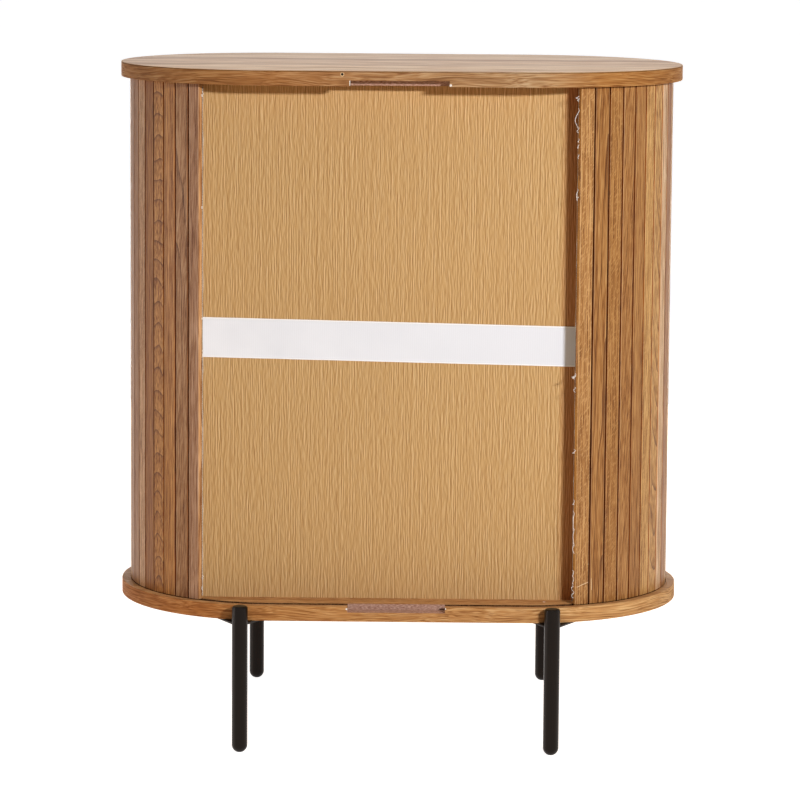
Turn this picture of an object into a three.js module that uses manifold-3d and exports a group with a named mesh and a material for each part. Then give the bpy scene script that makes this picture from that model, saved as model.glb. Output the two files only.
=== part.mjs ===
// A free-standing oval cabinet with two tambour doors that run in grooves round its rounded ends.
// Millimetres, +Z up. The front, where the doors meet, faces -Y; the flat back panel faces +Y.
// The origin is on the floor, under the middle of the cabinet.
import * as THREE from "three";
import { mergeVertices } from "three/addons/utils/BufferGeometryUtils.js";
import Module from "manifold-3d";

const wasm = await Module();
wasm.setup();

// Whole cabinet
const cabinetWidth = 800;
const cabinetDepth = 450;
const cabinetHeight = 950;
const floorClearance = 183.5;
const boardThickness = 21;

// Tambour doors and the grooves that they run in
const slatInset = 13;
const slatThickness = 8;
const slatPitch = 23;
const slatJoint = 0.8;
const slatEdgeEase = 1;
const canvasThickness = 0.8;
const slatEndGap = 0.6;
const rightDoorTravel = 275;
const leftDoorTravel = 245.2;
const stileWidth = 41;
const stileJoint = 0.8;
const stileLipWidth = 11;
const stileLipHeight = 3;
const stileLipUndercut = 1.5;
const meetingOffset = 13.4;
const meetingGap = 1.5;
const parkedGap = 4;
const grooveDepth = 8;
const grooveClearance = 0.9;
const tongueClearance = 1.5;
const feedSlotWidth = 136;

// Inner box
const backPanelRecess = 63;
const backPanelThickness = 8;
const backPanelDoorGap = 9.25;
const backPanelJoint = 0.5;
const sidePanelThickness = 18;
const sidePanelDoorGap = 14.25;
const shelfThickness = 18;
const shelfSetback = 8;
const shelfPlay = 0.3;

// Tape over the joint of the back panel
const tapeWidth = 56.3;
const tapeThickness = 0.8;
const tapeLift = 1.8;
const tapeTilt = THREE.MathUtils.degToRad(1.02);
const tapeEndMargin = 2;

// Shelf pins
const shelfPinDiameter = 5;
const shelfPinLength = 20;
const shelfPinDepth = 10;
const shelfPinInset = 50;

// Legs, corner plates and screws
const legDiameter = 22;
const legPastEndCentre = 42;
const legTopAboveBoard = 2.5;
const legRimRadius = 2;
const footFlatDiameter = 8;
const legGap = 0.6;
const plateThickness = 3;
const plateBaseWidth = 110;
const plateHalfAngle = THREE.MathUtils.degToRad(30);
const screwShankDiameter = 4;
const screwHeadDiameter = 8;
const screwHeadHeight = 2.4;
const screwHeadCrownShare = 0.7;
const screwLength = 14;
const screwSpacing = 56;
const screwSetback = 14;

// Clearances, and an overrun that lets every cut pass its face
const seatGap = 0.3;
const holeClearance = 0.25;
const overrun = 1;

// Smoothness of round outlines
const endSteps = 48;
const rodSteps = 28;
const rimSteps = 5;
const footSteps = 8;
const smallSteps = 14;

// Derived places
const endRadius = cabinetDepth / 2;
const endCentre = cabinetWidth / 2 - endRadius;
const slatFaceRadius = endRadius - slatInset;
const canvasRadius = slatFaceRadius - slatThickness;
const grooveOuter = slatFaceRadius + grooveClearance;
const grooveInner = canvasRadius - canvasThickness - grooveClearance;
const floorOfCase = floorClearance + boardThickness;
const ceilingOfCase = cabinetHeight - boardThickness;
const caseHeight = ceilingOfCase - floorOfCase;
const caseMiddle = (floorOfCase + ceilingOfCase) / 2;
const backPanelFace = endRadius - backPanelRecess;
const backPanelInner = backPanelFace - backPanelThickness;
const pastEndCentre = Math.sqrt((grooveInner - backPanelDoorGap) ** 2 - backPanelFace ** 2);
const sidePanelOuter = endCentre + pastEndCentre;
const sidePanelInner = sidePanelOuter - sidePanelThickness;
const sidePanelFront = -Math.sqrt((grooveInner - sidePanelDoorGap) ** 2 - pastEndCentre ** 2);
const legRadius = legDiameter / 2;
const legMiddle = endCentre + legPastEndCentre;
const legOffset = endRadius + legRadius + legGap;

// Materials
const oak = new THREE.MeshStandardMaterial({ color: 0xc08a58, roughness: 0.55, metalness: 0 });
const oakPanel = new THREE.MeshStandardMaterial({ color: 0xc19462, roughness: 0.6, metalness: 0 });
const oakSlat = new THREE.MeshStandardMaterial({ color: 0xb5834f, roughness: 0.55, metalness: 0 });
const whiteTape = new THREE.MeshStandardMaterial({ color: 0xe6e5e3, roughness: 0.7, metalness: 0 });
const blackSteel = new THREE.MeshStandardMaterial({ color: 0x1d1b1a, roughness: 0.4, metalness: 0.3 });
const zincSteel = new THREE.MeshStandardMaterial({ color: 0x8d8f92, roughness: 0.35, metalness: 1 });

const cabinet = new THREE.Group();

// Adds one named piece to a group.
function addPiece(group, name, geometry, material) {
  const piece = new THREE.Mesh(geometry, material);
  piece.name = name;
  group.add(piece);
  return piece;
}

// A geometry as a solid that can be joined and cut.
function toSolid(geometry) {
  const bare = geometry.index ? geometry.toNonIndexed() : geometry.clone();
  bare.deleteAttribute("normal");
  bare.deleteAttribute("uv");
  const merged = mergeVertices(bare);
  return new wasm.Manifold(
    new wasm.Mesh({
      numProp: 3,
      vertProperties: new Float32Array(merged.attributes.position.array),
      triVerts: new Uint32Array(merged.index.array),
    }),
  );
}

// A solid back as a geometry.
function toGeometry(solid) {
  const mesh = solid.getMesh();
  const geometry = new THREE.BufferGeometry();
  geometry.setAttribute("position", new THREE.BufferAttribute(mesh.vertProperties, 3));
  geometry.setIndex(new THREE.BufferAttribute(mesh.triVerts, 1));
  geometry.computeVertexNormals();
  return geometry;
}

// A plan outline raised from one height by another.
function raise(shape, bottom, height, steps = endSteps) {
  const geometry = new THREE.ExtrudeGeometry(shape, {
    depth: height,
    bevelEnabled: false,
    curveSegments: steps,
  });
  geometry.translate(0, 0, bottom);
  return geometry;
}

// A box between two corners.
function block(x0, x1, y0, y1, z0, z1) {
  const geometry = new THREE.BoxGeometry(x1 - x0, y1 - y0, z1 - z0);
  geometry.translate((x0 + x1) / 2, (y0 + y1) / 2, (z0 + z1) / 2);
  return geometry;
}

// Two half circles joined by straight sides.
function traceStadium(path, radius) {
  path.absarc(endCentre, 0, radius, -Math.PI / 2, Math.PI / 2, false);
  path.absarc(-endCentre, 0, radius, Math.PI / 2, (3 * Math.PI) / 2, false);
  path.closePath();
  return path;
}

// A turned piece, from a profile of radius and height.
function turned(profile, steps) {
  const geometry = new THREE.LatheGeometry(profile, steps);
  geometry.rotateX(Math.PI / 2);
  return geometry;
}

// A rod or a hole along Z from one height to another.
function rod(radius, bottom, top, steps) {
  const geometry = new THREE.CylinderGeometry(radius, radius, top - bottom, steps);
  geometry.rotateX(Math.PI / 2);
  geometry.translate(0, 0, (top + bottom) / 2);
  return geometry;
}

// The ring that a door's ends run in, from one height to another.
function grooveRing(bottom, top) {
  const ring = traceStadium(new THREE.Shape(), grooveOuter);
  ring.holes.push(traceStadium(new THREE.Path(), grooveInner));
  return raise(ring, bottom, top - bottom);
}

// The slot at the middle of the back through which a door is fed into its groove.
function feedSlot(bottom, top) {
  const half = feedSlotWidth / 2;
  return block(-half, half, grooveInner, endRadius + overrun, bottom, top);
}

// Places of the two screws of a corner plate, for a leg at the given sides.
function screwPlaces(sideX, sideY) {
  const places = [];
  for (const side of [-1, 1]) {
    places.push([
      sideX * legMiddle + (side * screwSpacing) / 2,
      sideY * (plateBase() + screwSetback),
    ]);
  }
  return places;
}

// How far from the middle a corner plate's base lies.
function plateBase() {
  return legOffset - (plateBaseWidth / 2 - legRadius) / Math.tan(plateHalfAngle);
}

// The board on top of the cabinet, grooved underneath.
function topBoard() {
  const stadium = traceStadium(new THREE.Shape(), endRadius);
  let solid = toSolid(raise(stadium, ceilingOfCase, boardThickness));
  const low = ceilingOfCase - overrun;
  const high = ceilingOfCase + grooveDepth;
  solid = solid.subtract(toSolid(grooveRing(low, high)));
  solid = solid.subtract(toSolid(feedSlot(low, high)));
  return toGeometry(solid);
}

// The board under the cabinet, grooved on top and drilled below for the plate screws.
function bottomBoard() {
  const stadium = traceStadium(new THREE.Shape(), endRadius);
  let solid = toSolid(raise(stadium, floorClearance, boardThickness));
  const low = floorOfCase - grooveDepth;
  const high = floorOfCase + overrun;
  solid = solid.subtract(toSolid(grooveRing(low, high)));
  solid = solid.subtract(toSolid(feedSlot(low, high)));
  const holeTop = floorClearance - plateThickness + screwLength + holeClearance;
  for (const sideX of [-1, 1]) {
    for (const sideY of [-1, 1]) {
      for (const [x, y] of screwPlaces(sideX, sideY)) {
        const hole = rod(
          screwShankDiameter / 2 + holeClearance,
          floorClearance - overrun,
          holeTop,
          smallSteps,
        );
        hole.translate(x, y, 0);
        solid = solid.subtract(toSolid(hole));
      }
    }
  }
  return toGeometry(solid);
}

addPiece(cabinet, "top_board", topBoard(), oak);
addPiece(cabinet, "bottom_board", bottomBoard(), oak);

// Where the shelf pins stand, measured from front to back.
const shelfFront = sidePanelFront + shelfSetback;
const shelfBack = backPanelInner - shelfPlay;
const shelfBottom = caseMiddle - shelfThickness / 2;
const shelfPinRadius = shelfPinDiameter / 2;
const shelfPinHeight = shelfBottom - seatGap - shelfPinRadius;
const shelfPinPlaces = [sidePanelFront + shelfPinInset, backPanelInner - shelfPinInset];

// A cylinder along X that starts inside a side panel.
function shelfPin(side, radius, depth, length) {
  const geometry = new THREE.CylinderGeometry(radius, radius, length, smallSteps);
  geometry.rotateZ(Math.PI / 2);
  geometry.translate(side * (sidePanelInner + depth - length / 2), 0, 0);
  return geometry;
}

// A side of the inner box, drilled for the shelf pins.
function sidePanel(side) {
  const inner = side * sidePanelInner;
  const outer = side * sidePanelOuter;
  let solid = toSolid(
    block(
      Math.min(inner, outer),
      Math.max(inner, outer),
      sidePanelFront,
      backPanelInner,
      floorOfCase,
      ceilingOfCase,
    ),
  );
  for (const y of shelfPinPlaces) {
    const hole = shelfPin(
      side,
      shelfPinRadius + holeClearance,
      shelfPinDepth + holeClearance,
      shelfPinDepth + holeClearance + overrun,
    );
    hole.translate(0, y, shelfPinHeight);
    solid = solid.subtract(toSolid(hole));
  }
  return toGeometry(solid);
}

for (const [side, word] of [[-1, "left"], [1, "right"]]) {
  addPiece(cabinet, `${word}_side_panel`, sidePanel(side), oak);
  for (const [index, y] of shelfPinPlaces.entries()) {
    const pin = addPiece(
      cabinet,
      `${word}_shelf_pin_${index === 0 ? "front" : "back"}`,
      shelfPin(side, shelfPinRadius, shelfPinDepth, shelfPinLength),
      zincSteel,
    );
    pin.position.set(0, y, shelfPinHeight);
  }
}

addPiece(
  cabinet,
  "centre_shelf",
  block(
    shelfPlay - sidePanelInner,
    sidePanelInner - shelfPlay,
    shelfFront,
    shelfBack,
    shelfBottom,
    shelfBottom + shelfThickness,
  ),
  oak,
);

// The two halves of the back panel, one above the other.
addPiece(
  cabinet,
  "back_panel_lower",
  block(
    -sidePanelOuter,
    sidePanelOuter,
    backPanelInner,
    backPanelFace,
    floorOfCase,
    caseMiddle - backPanelJoint / 2,
  ),
  oakPanel,
);
addPiece(
  cabinet,
  "back_panel_upper",
  block(
    -sidePanelOuter,
    sidePanelOuter,
    backPanelInner,
    backPanelFace,
    caseMiddle + backPanelJoint / 2,
    ceilingOfCase,
  ),
  oakPanel,
);

// Ribbed tape laid over the joint, a little out of level.
const tapeLength = 2 * (sidePanelOuter - tapeEndMargin);
const tape = addPiece(
  cabinet,
  "back_joint_tape",
  new THREE.BoxGeometry(tapeLength, tapeThickness, tapeWidth),
  whiteTape,
);
tape.position.set(0, backPanelFace + seatGap + tapeThickness / 2, caseMiddle + tapeLift);
tape.rotation.y = -tapeTilt;

// Place and heading of a point at a distance along a door's canvas, for the door on the right.
// The distance starts at the middle of the front; the canvas runs straight, round the end,
// and straight again along the back.
const arcLength = Math.PI * canvasRadius;
function trackPoint(distance) {
  if (distance <= endCentre) {
    return { x: distance, y: -canvasRadius, angle: 0 };
  }
  if (distance <= endCentre + arcLength) {
    const angle = (distance - endCentre) / canvasRadius;
    return {
      x: endCentre + canvasRadius * Math.sin(angle),
      y: -canvasRadius * Math.cos(angle),
      angle,
    };
  }
  return { x: 2 * endCentre + arcLength - distance, y: canvasRadius, angle: Math.PI };
}

// Corners of a slat's plan section, from its leading foot round its face to its trailing foot.
// Each is a pair: along the track, and outwards from the canvas.
function slatFace(width) {
  const half = width / 2;
  return [
    [-half, 0],
    [-half, slatThickness - slatEdgeEase],
    [slatEdgeEase - half, slatThickness],
    [half - slatEdgeEase, slatThickness],
    [half, slatThickness - slatEdgeEase],
    [half, 0],
  ];
}

// The leading stile, with a lip to pull it by.
function stileFace(width) {
  const half = width / 2;
  const lipTop = slatThickness + stileLipHeight;
  return [
    [-half, 0],
    [-half, lipTop - slatEdgeEase],
    [slatEdgeEase - half, lipTop],
    [stileLipWidth - half, lipTop],
    [stileLipWidth - stileLipUndercut - half, slatThickness],
    [half - slatEdgeEase, slatThickness],
    [half, slatThickness - slatEdgeEase],
    [half, 0],
  ];
}

// A closed outline from pairs of numbers.
function outline(points) {
  return new THREE.Shape(points.map(([x, y]) => new THREE.Vector2(x, y)));
}

// One slat by itself, with its strip of canvas, turned to lie along the track.
function addSlat(group, side, name, face, width, distance) {
  const half = width / 2;
  const corners = [...face, [half, -canvasThickness], [-half, -canvasThickness]];
  const shape = outline(corners.map(([along, out]) => [side * along, -out]));
  const place = trackPoint(distance);
  const piece = addPiece(
    group,
    name,
    raise(shape, floorOfCase + slatEndGap, caseHeight - 2 * slatEndGap),
    oakSlat,
  );
  piece.position.set(side * place.x, place.y, 0);
  piece.rotation.z = side * place.angle;
}

// The slats that stay on the round end, joined by their canvas, with their ends in the grooves.
function addEndRun(group, side, name, slats) {
  const front = [];
  const back = [];
  for (const { distance, width } of slats) {
    const { angle } = trackPoint(distance);
    const place = ([along, out]) => [
      side * ((canvasRadius + out) * Math.sin(angle) + along * Math.cos(angle)),
      -(canvasRadius + out) * Math.cos(angle) + along * Math.sin(angle),
    ];
    front.push(...slatFace(width).map(place));
    back.push(place([-width / 2, -canvasThickness]), place([width / 2, -canvasThickness]));
  }
  const shape = outline([...front, ...back.reverse()]);
  const tongue = grooveDepth - tongueClearance;
  const run = addPiece(
    group,
    name,
    raise(shape, floorOfCase - tongue, caseHeight + 2 * tongue),
    oakSlat,
  );
  run.position.set(side * endCentre, 0, 0);
}

// Where each slat of a door stands when the door is shut. The door is as long as its travel
// leaves it, and its last slat takes up what is left over from whole slats.
function slatPlaces(leadingEdge, trailingEdge) {
  const rest = trailingEdge - leadingEdge - stileWidth;
  const fullSlats = Math.round(rest / slatPitch) - 1;
  const places = [];
  let start = leadingEdge + stileWidth;
  for (let index = 0; index < fullSlats; index += 1) {
    places.push({ distance: start + slatPitch / 2, width: slatPitch - slatJoint });
    start += slatPitch;
  }
  places.push({ distance: (start + trailingEdge) / 2, width: trailingEdge - start - slatJoint });
  return places;
}

// A whole door. The slats that stay on the round end move as one; those before and behind them,
// which change between a straight run and the round end, are pieces of their own.
function addDoor(side, word, leadingEdge, travel) {
  const door = new THREE.Group();
  const endOfArc = endCentre + arcLength;
  const places = slatPlaces(leadingEdge, endCentre + endOfArc - parkedGap / 2 - travel);
  const stile = stileWidth - stileJoint;
  const stilePlace = leadingEdge + stile / 2;
  addSlat(door, side, `${word}_door_pull_stile`, stileFace(stile), stile, stilePlace);
  const runs = {
    front: places.filter(({ distance }) => distance < endCentre),
    back: places.filter(({ distance }) => distance >= endCentre && distance + travel > endOfArc),
  };
  for (const [run, slats] of Object.entries(runs)) {
    for (const [index, { distance, width }] of slats.entries()) {
      const number = String(index + 1).padStart(2, "0");
      addSlat(door, side, `${word}_door_${run}_slat_${number}`, slatFace(width), width, distance);
    }
  }
  const onEnd = ({ distance }) => distance >= endCentre && distance + travel <= endOfArc;
  addEndRun(door, side, `${word}_door_end_slats`, places.filter(onEnd));
  cabinet.add(door);
}

addDoor(1, "right", meetingGap / 2 - meetingOffset, rightDoorTravel);
addDoor(-1, "left", meetingGap / 2 + meetingOffset, leftDoorTravel);

// A leg: a steel rod with an eased flat top and a round foot with a small flat.
function leg() {
  const top = floorOfCase + legTopAboveBoard;
  const profile = [new THREE.Vector2(0, 0)];
  const footAngle = Math.asin(footFlatDiameter / 2 / legRadius);
  const footDrop = legRadius * Math.cos(footAngle);
  for (let step = 0; step <= footSteps; step += 1) {
    const angle = footAngle + ((Math.PI / 2 - footAngle) * step) / footSteps;
    profile.push(
      new THREE.Vector2(legRadius * Math.sin(angle), footDrop - legRadius * Math.cos(angle)),
    );
  }
  for (let step = 0; step <= rimSteps; step += 1) {
    const angle = ((Math.PI / 2) * step) / rimSteps;
    profile.push(
      new THREE.Vector2(
        legRadius - legRimRadius * (1 - Math.cos(angle)),
        top - legRimRadius * (1 - Math.sin(angle)),
      ),
    );
  }
  profile.push(new THREE.Vector2(0, top));
  return turned(profile, rodSteps);
}

// A corner plate: a triangle whose point is hollowed to fit round the leg, drilled for screws.
// It is drawn for a leg at the back right, with the leg's middle at the origin.
function cornerPlate(sideX, sideY) {
  const reach = legOffset - plateBase();
  const grip = legRadius + seatGap;
  const slope = Math.tan(plateHalfAngle);
  const a = 1 + slope * slope;
  const b = legRadius * slope;
  const c = legRadius * legRadius - grip * grip;
  const meet = (Math.sqrt(b * b - a * c) - b) / a;
  const start = Math.atan2(-meet, legRadius + meet * slope);
  const shape = new THREE.Shape();
  shape.moveTo(-plateBaseWidth / 2, -reach);
  shape.lineTo(plateBaseWidth / 2, -reach);
  shape.absarc(0, 0, grip, start, -Math.PI - start, true);
  shape.closePath();
  let solid = toSolid(raise(shape, floorClearance - plateThickness, plateThickness, smallSteps));
  for (const side of [-1, 1]) {
    const hole = rod(
      screwShankDiameter / 2 + holeClearance,
      floorClearance - plateThickness - overrun,
      floorClearance + overrun,
      smallSteps,
    );
    hole.translate((side * screwSpacing) / 2, screwSetback - reach, 0);
    solid = solid.subtract(toSolid(hole));
  }
  const geometry = toGeometry(solid);
  if (sideY < 0) {
    geometry.rotateZ(Math.PI);
  }
  geometry.translate(sideX * legMiddle, sideY * legOffset, 0);
  return geometry;
}

// A pan-head screw that holds a corner plate up against the bottom board.
function plateScrew() {
  const shank = screwShankDiameter / 2;
  const head = screwHeadDiameter / 2;
  const seat = floorClearance - plateThickness;
  const tip = seat + screwLength;
  const profile = [
    [0, seat - screwHeadHeight],
    [head * screwHeadCrownShare, seat - screwHeadHeight],
    [head, seat - screwHeadHeight / 2],
    [head, seat],
    [shank, seat],
    [shank, tip - shank],
    [0, tip],
  ];
  return turned(profile.map(([radius, height]) => new THREE.Vector2(radius, height)), smallSteps);
}

for (const [sideY, depthWord] of [[-1, "front"], [1, "back"]]) {
  for (const [sideX, sideWord] of [[-1, "left"], [1, "right"]]) {
    const corner = `${depthWord}_${sideWord}`;
    const rodPiece = addPiece(cabinet, `${corner}_leg`, leg(), blackSteel);
    rodPiece.position.set(sideX * legMiddle, sideY * legOffset, 0);
    addPiece(cabinet, `${corner}_corner_plate`, cornerPlate(sideX, sideY), blackSteel);
    for (const [index, [x, y]] of screwPlaces(sideX, sideY).entries()) {
      const screw = addPiece(
        cabinet,
        `${corner}_plate_screw_${index + 1}`,
        plateScrew(),
        zincSteel,
      );
      screw.position.set(x, y, 0);
    }
  }
}

export default cabinet;
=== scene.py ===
import math
from functools import partial

import bmesh
import bpy
import numpy as np
from mathutils import Matrix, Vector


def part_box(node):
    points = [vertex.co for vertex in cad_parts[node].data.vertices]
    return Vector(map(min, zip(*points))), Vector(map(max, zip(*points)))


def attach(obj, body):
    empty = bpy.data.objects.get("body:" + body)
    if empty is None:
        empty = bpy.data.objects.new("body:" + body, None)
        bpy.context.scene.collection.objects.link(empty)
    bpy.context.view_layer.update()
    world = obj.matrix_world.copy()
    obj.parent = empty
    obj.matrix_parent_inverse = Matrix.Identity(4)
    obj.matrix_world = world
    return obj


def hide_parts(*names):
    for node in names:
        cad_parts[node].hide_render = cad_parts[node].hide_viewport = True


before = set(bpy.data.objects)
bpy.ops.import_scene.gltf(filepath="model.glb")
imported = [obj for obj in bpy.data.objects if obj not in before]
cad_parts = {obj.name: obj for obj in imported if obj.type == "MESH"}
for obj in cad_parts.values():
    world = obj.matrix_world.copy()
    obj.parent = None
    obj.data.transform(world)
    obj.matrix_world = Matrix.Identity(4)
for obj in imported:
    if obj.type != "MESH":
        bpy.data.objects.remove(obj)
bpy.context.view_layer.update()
MM = 0.001


def nodes_with(word):
    """The names of the drawing's pieces that hold a word, in order."""
    return sorted(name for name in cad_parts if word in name)


# %% [markdown]
# ## Sizes read from the frame
#
# A designer would take these off the drawing. Here they are read from the boxes of the pieces, so
# that a changed drawing changes the looks with it. Only small values that no box tells, such as the
# canvas' thickness, are given one by one.
# %% Sizes
top_low, top_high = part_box("top_board")
slat_low, slat_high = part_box("right_door_front_slat_01")

end_radius = top_high.y
end_centre = top_high.x - end_radius
board_thickness = top_high.z - top_low.z
case_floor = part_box("bottom_board")[1].z
case_ceiling = top_low.z
canvas_thickness = 0.8 * MM
slat_face = -slat_low.y
canvas_radius = -slat_high.y + canvas_thickness
slat_thickness = slat_face - canvas_radius
lip_rise = -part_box("right_door_pull_stile")[0].y - slat_face
groove_clearance = 0.9 * MM
groove_outer = slat_face + groove_clearance
groove_inner = -slat_high.y - groove_clearance
groove_depth = 8 * MM
half_slot = 68 * MM
print("radii of ends, slats and canvas", [round(r, 4) for r in (end_radius, slat_face, canvas_radius)])

# %% [markdown]
# ## The camera
#
# The photograph was taken from behind, a little above the top board, with a long lens. The place,
# the turn and the focal length come from the outlines of the boards, doors and feet in the
# picture. The lens is shifted down a little, because the picture was cropped that way.
# %% Camera
image_width = 800
camera_place = (-0.061968, 5.314688, 1.250775)
camera_turn = math.pi + 0.011692
camera_tip = math.pi / 2 - 0.125691
camera_roll = 0.007329
focal_pixels = 3723.177
shift_pixels = -80

camera_data = bpy.data.cameras.new("camera")
camera_data.sensor_width = 36
camera_data.lens = focal_pixels / image_width * camera_data.sensor_width
camera_data.shift_y = shift_pixels / image_width
camera_data.clip_end = 200
camera = bpy.data.objects.new("camera", camera_data)
camera.matrix_world = (
    Matrix.Translation(camera_place)
    @ Matrix.Rotation(camera_turn, 4, "Z")
    @ Matrix.Rotation(camera_tip, 4, "X")
    @ Matrix.Rotation(camera_roll, 4, "Z")
)
bpy.context.scene.collection.objects.link(camera)
bpy.context.scene.camera = camera
print("lens", round(camera_data.lens, 1), "mm, shift", camera_data.shift_y)

# %% [markdown]
# ## Colours and nodes
#
# Colours are written as the hex values that a picture editor shows, and one function turns them to
# the linear values that light is worked out with. One small function adds every node.
# %% Helpers for materials
def linear(hex_colour):
    """An sRGB hex colour as linear red, green, blue and full opacity."""
    parts = [int(hex_colour[i : i + 2], 16) / 255 for i in (1, 3, 5)]
    return tuple(c / 12.92 if c <= 0.04045 else ((c + 0.055) / 1.055) ** 2.4 for c in parts) + (1,)


def add_node(tree, kind, inputs=(), **settings):
    """One shader node of a kind with its settings. inputs go by place or by name: a value, or a link
    to an output or to the first output in use of another node."""
    node = tree.nodes.new("ShaderNode" + kind)
    for key, value in settings.items():
        setattr(node, key, value)
    for key, value in inputs.items() if isinstance(inputs, dict) else enumerate(inputs):
        if isinstance(value, bpy.types.Node):
            value = next(output for output in value.outputs if output.enabled)
        if isinstance(value, bpy.types.NodeSocket):
            tree.links.new(value, node.inputs[key])
        else:
            node.inputs[key].default_value = value
    return node


def emptied(owner):
    """An emptied material or world, and what adds a node to it."""
    owner.use_nodes = True
    owner.node_tree.nodes.clear()
    return owner, partial(add_node, owner.node_tree)


print("a middle grey is", round(linear("#808080")[0], 3), "of white as light")

# %% [markdown]
# ## The studio
#
# The shadow of the top board on the panel tells where the main lamp stood: to the right of the
# photographer, a little above the cabinet, and wider than it is high, since upright edges throw a
# softer shadow than level ones. A tall narrow lamp stands far to the left, one hangs overhead, one
# lights the doors' front from behind and below the top, where it can't glare, and the room fills the
# rest. The floor is a warm cream, which makes the shadows warm. It and the room are pure white only to
# the camera and in reflections.
# %% Lamps
lamp_aim = np.array([0, 0, case_ceiling])


def unit(vectors):
    """Vectors scaled to a length of 1."""
    return vectors / np.linalg.norm(vectors, axis=-1, keepdims=True)


def area_lamp(name, direction, distance, width, height, level, hex_colour):
    """A rectangular lamp that faces the cabinet from a direction. Its power gives a white surface
    that faces it the level as brightness: pi squared times the distance squared times the level."""
    back = unit(direction)
    side = unit(np.cross([0, 0, 1], back))
    data = bpy.data.lights.new(name, "AREA")
    data.shape = "RECTANGLE"
    data.size, data.size_y = width, height
    data.energy = level * (math.pi * distance) ** 2
    data.color = linear(hex_colour)[:3]
    lamp = bpy.data.objects.new(name, data)
    turn = Matrix(np.array([side, np.cross(back, side), back]).T.tolist()).to_4x4()
    lamp.matrix_world = Matrix.Translation(lamp_aim + back * distance) @ turn
    lamp.visible_camera = False
    bpy.context.scene.collection.objects.link(lamp)
    return lamp


key = area_lamp("key_lamp", (-0.48, 0.855, 0.197), 3.6, 0.42, 0.16, 0.88, "#f4f8ff")
# A polarising sheet takes the glare of this small strong lamp off the lacquer.
key.visible_glossy = False
area_lamp("left_lamp", (0.99, 0.09, -0.05), 3.2, 0.3, 1.5, 0.24, "#fffaf6")
area_lamp("front_lamp", (0, -1, -0.16), 3.2, 2.6, 0.8, 0.62, "#fffcf8")
area_lamp("overhead_lamp", (0.001, 0.12, 1), 1.8, 1.5, 1.2, 0.45, "#fffcf8")
print("lamps", sorted(light.name for light in bpy.data.lights))

# %% Room and floor
room_fill = 0.1
floor_lift = 0.975
floor_glow = (0.95, 0.97, 1, 1)
half_floor = 60


def white_to_the_eye(add):
    """1 for the rays that reach the camera straight, by a reflection or through glass, else 0."""
    path = add("LightPath").outputs
    seen = add("Math", [path["Is Camera Ray"], path["Is Glossy Ray"]], operation="MAXIMUM")
    return add("Math", [seen, path["Is Transmission Ray"]], operation="MAXIMUM")


world, add = emptied(bpy.data.worlds.new("white_room"))
bpy.context.scene.world = world
fill = add("Background", {"Color": linear("#ffeeda"), "Strength": room_fill})
white = add("Background", {"Color": (1, 1, 1, 1), "Strength": 1})
add("OutputWorld", {"Surface": add("MixShader", [white_to_the_eye(add), fill, white])})

floor_material, add = emptied(bpy.data.materials.new("pale_matt_floor"))
lift = add("Math", [white_to_the_eye(add), floor_lift], operation="MULTIPLY")
paint = add("BsdfDiffuse", {"Color": linear("#ead4b8")})
glow = add("Emission", {"Color": floor_glow, "Strength": lift})
add("OutputMaterial", {"Surface": add("AddShader", [paint, glow])})

floor_mesh = bpy.data.meshes.new("floor")
corners = [(-1, -1), (1, -1), (1, 1), (-1, 1)]
floor_mesh.from_pydata([(x * half_floor, y * half_floor, 0) for x, y in corners], [], [(0, 1, 2, 3)])
floor_mesh.materials.append(floor_material)
floor = bpy.data.objects.new("floor", floor_mesh)
bpy.context.scene.collection.objects.link(floor)
bpy.context.scene.view_settings.view_transform = "Standard"
print("floor", 2 * half_floor, "m across")

# %% [markdown]
# ## Oak
#
# Oak shows fine fibres, longer streaks, growth rings, short dark pores and, on boards cut towards
# the heart, pale flecks that cross the grain. A clear matt lacquer lies over them. All of it runs
# along the grain, so each pattern is a noise that is stretched that way. A picture of oak would be
# quicker, but would repeat from slat to slat and blur close by. On a rounded edge or a slat
# the pattern reads a place in the plank that the mesh carries with it, and otherwise it reads the
# object's own coordinates. The finest fibres of real oak are too thin to show from here, so they
# are drawn about a millimetre wide.
# %% The oak finish
# A wave texture of scale 1 repeats every 2 pi / 20 of a metre.
ring_wave = 2 * math.pi / 20
pore_range = {"From Min": 0.56, "From Max": 0.68}
fleck_range = {"From Min": 0.56, "From Max": 0.64, "To Max": 0.6}
late_wood_range = {"From Min": 0.84, "From Max": 0.97}


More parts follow.
